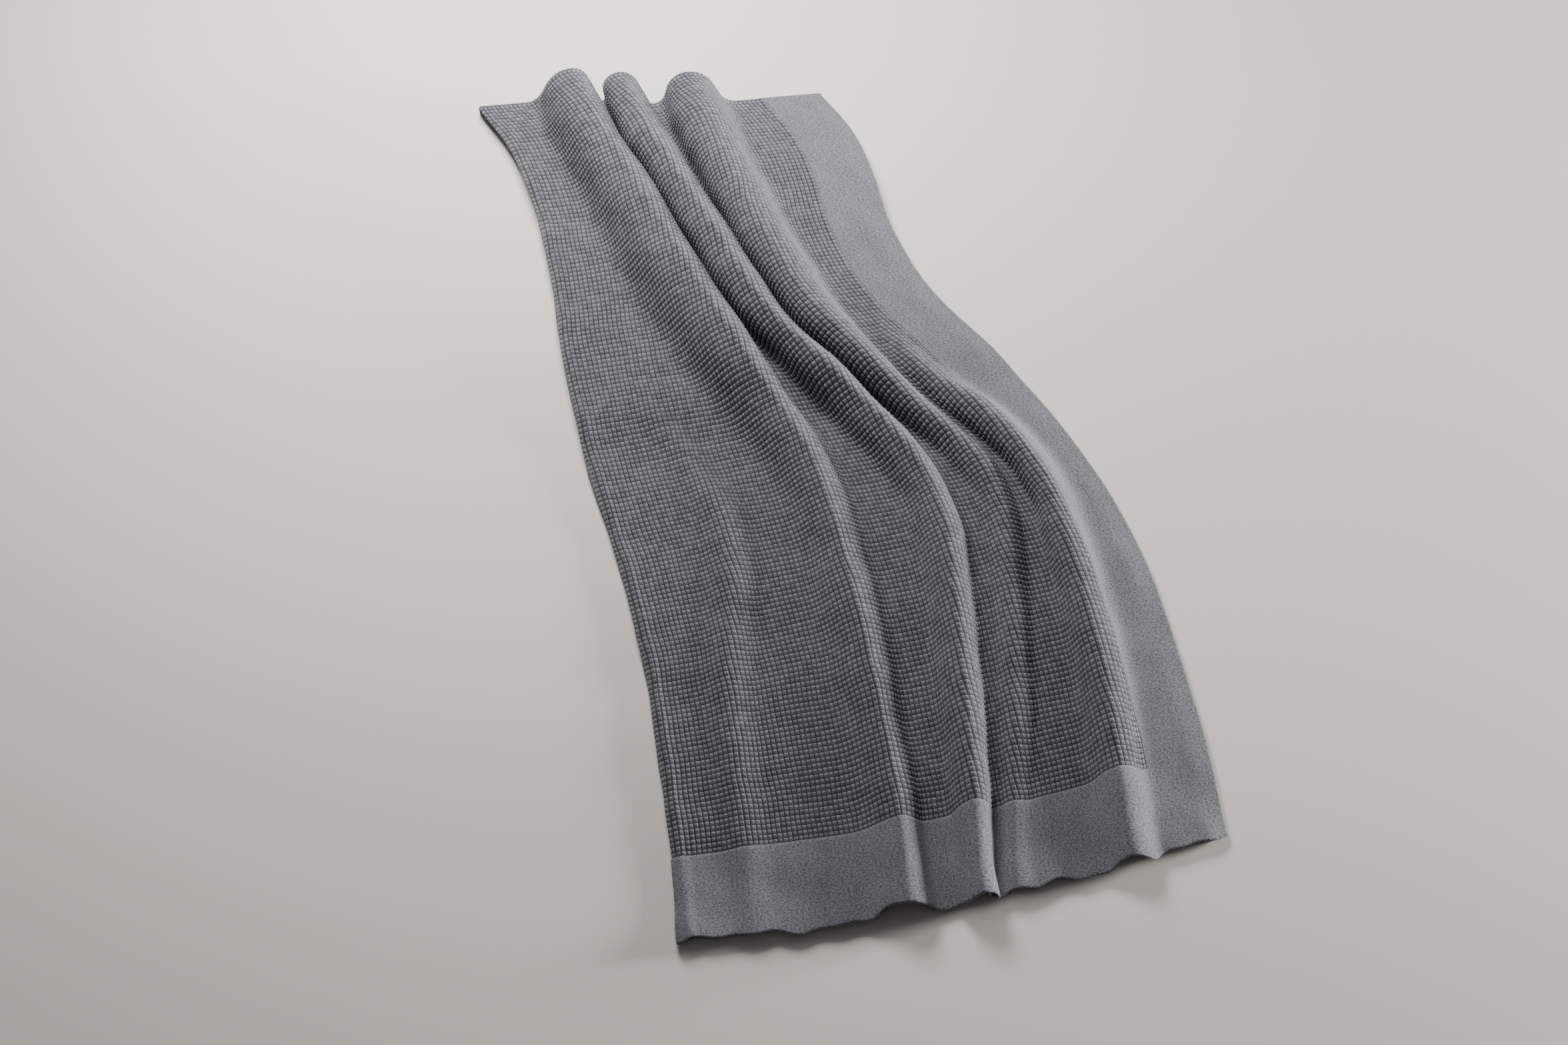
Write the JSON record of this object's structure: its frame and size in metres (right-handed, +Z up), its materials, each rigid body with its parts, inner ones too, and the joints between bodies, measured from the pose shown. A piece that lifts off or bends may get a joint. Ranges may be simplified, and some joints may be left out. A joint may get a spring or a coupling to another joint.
{
  "type": "wool throw blanket",
  "caption": "Knitted wool throw with a waffle centre and plain border, folded lengthwise, its head end turned under, laid flat in long soft ridges",
  "frame": {"origin": "on the surface that the throw lies on, under the middle of its box", "axes": "+X runs from the folded edge to the open edge, +Y from the foot edge to the fold at the head, +Z up"},
  "size_m": [0.625, 1.2804, 0.0729],
  "materials": {
    "wool": "matt, heathered grey wool knit"
  },
  "bodies": {
    "root": {"throw": "wool"}
  },
  "joints": []
}
